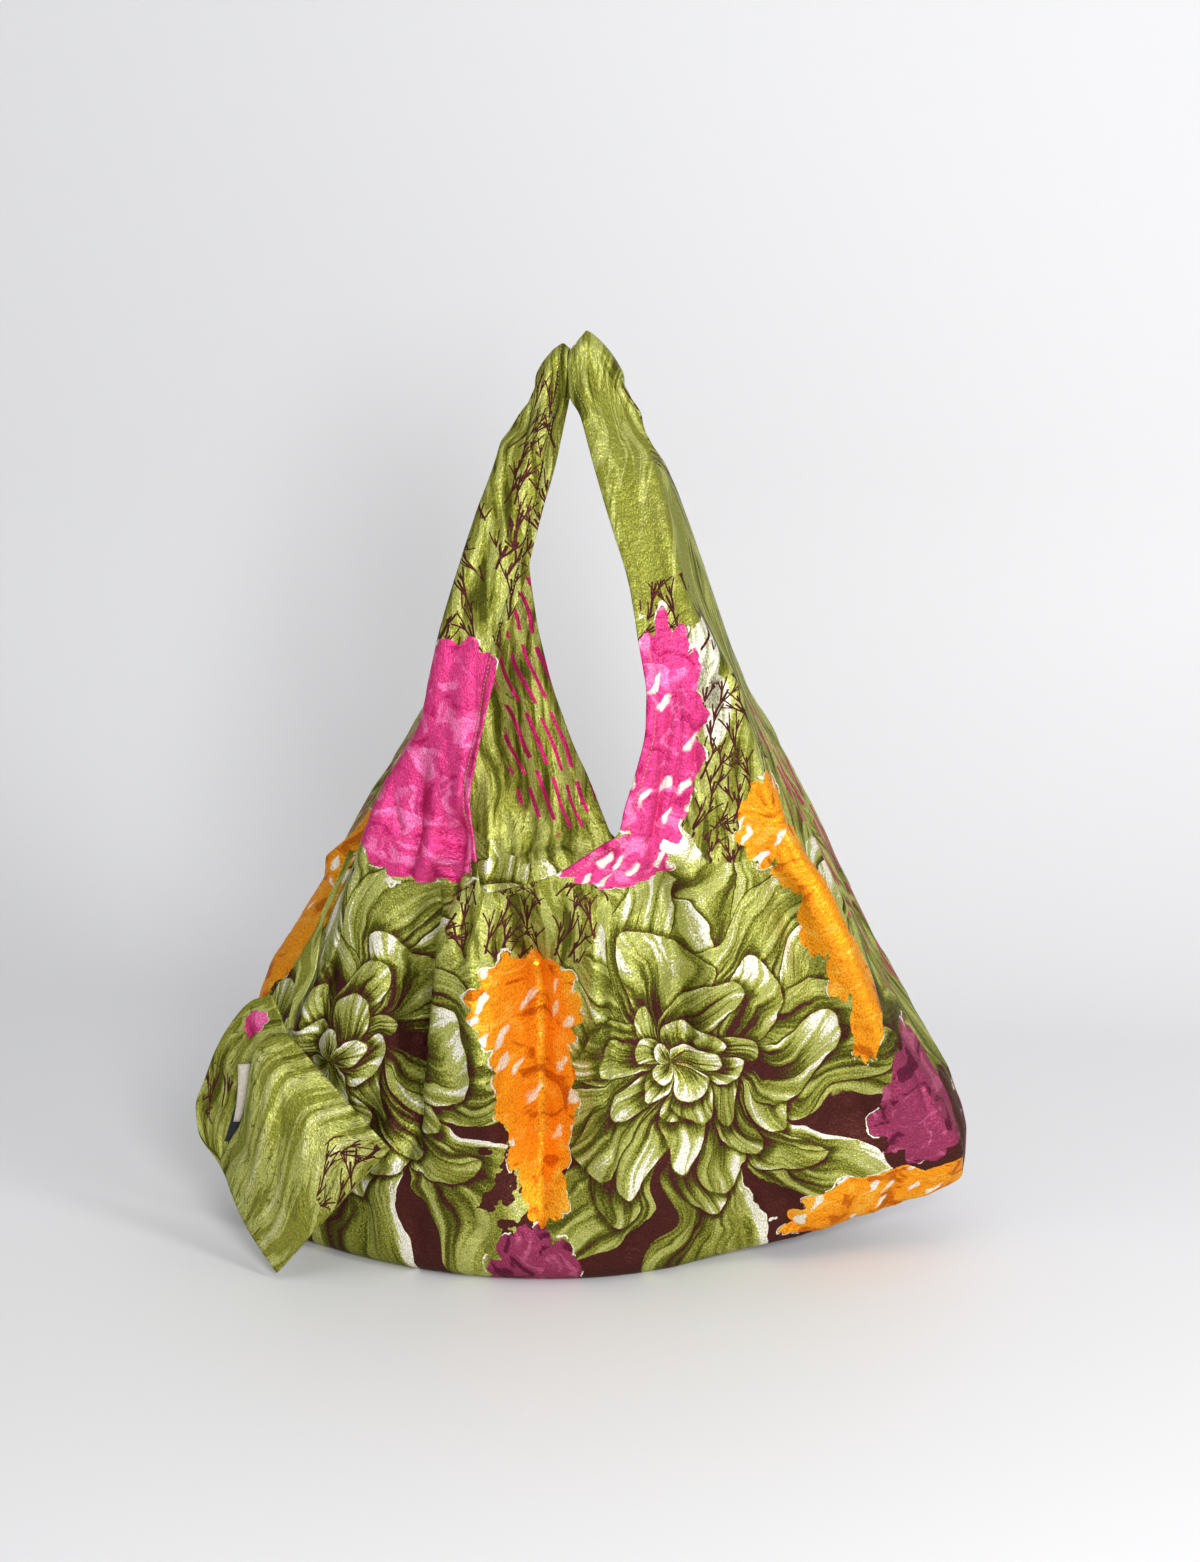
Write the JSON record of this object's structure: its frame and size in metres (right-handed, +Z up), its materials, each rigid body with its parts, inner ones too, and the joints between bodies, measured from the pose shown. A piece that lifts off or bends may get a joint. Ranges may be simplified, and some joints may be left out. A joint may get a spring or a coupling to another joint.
{
  "type": "reusable shopping bag",
  "caption": "Fold-away cloth shopping bag with two looped strap handles, side gussets and a small hanging pouch, standing filled out.",
  "frame": {"origin": "on the surface the bag stands on, under the middle of its bounding box", "axes": "+Z up, the front face looks along -Y, the pouch hangs at the -X end"},
  "size_m": [0.5364, 0.2548, 0.6361],
  "materials": {
    "printed_cloth": "thin crinkled satin, printed",
    "pouch_cloth": "thin crinkled satin, printed",
    "cream_tape": "plain woven tape",
    "black_tape": "plain satin tape"
  },
  "bodies": {
    "root": {"front_panel": "printed_cloth", "back_panel": "printed_cloth", "pouch_front": "pouch_cloth", "pouch_back": "pouch_cloth", "pouch_label": "cream_tape", "pouch_tab": "black_tape", "seam_strip": "pouch_cloth"}
  },
  "joints": []
}
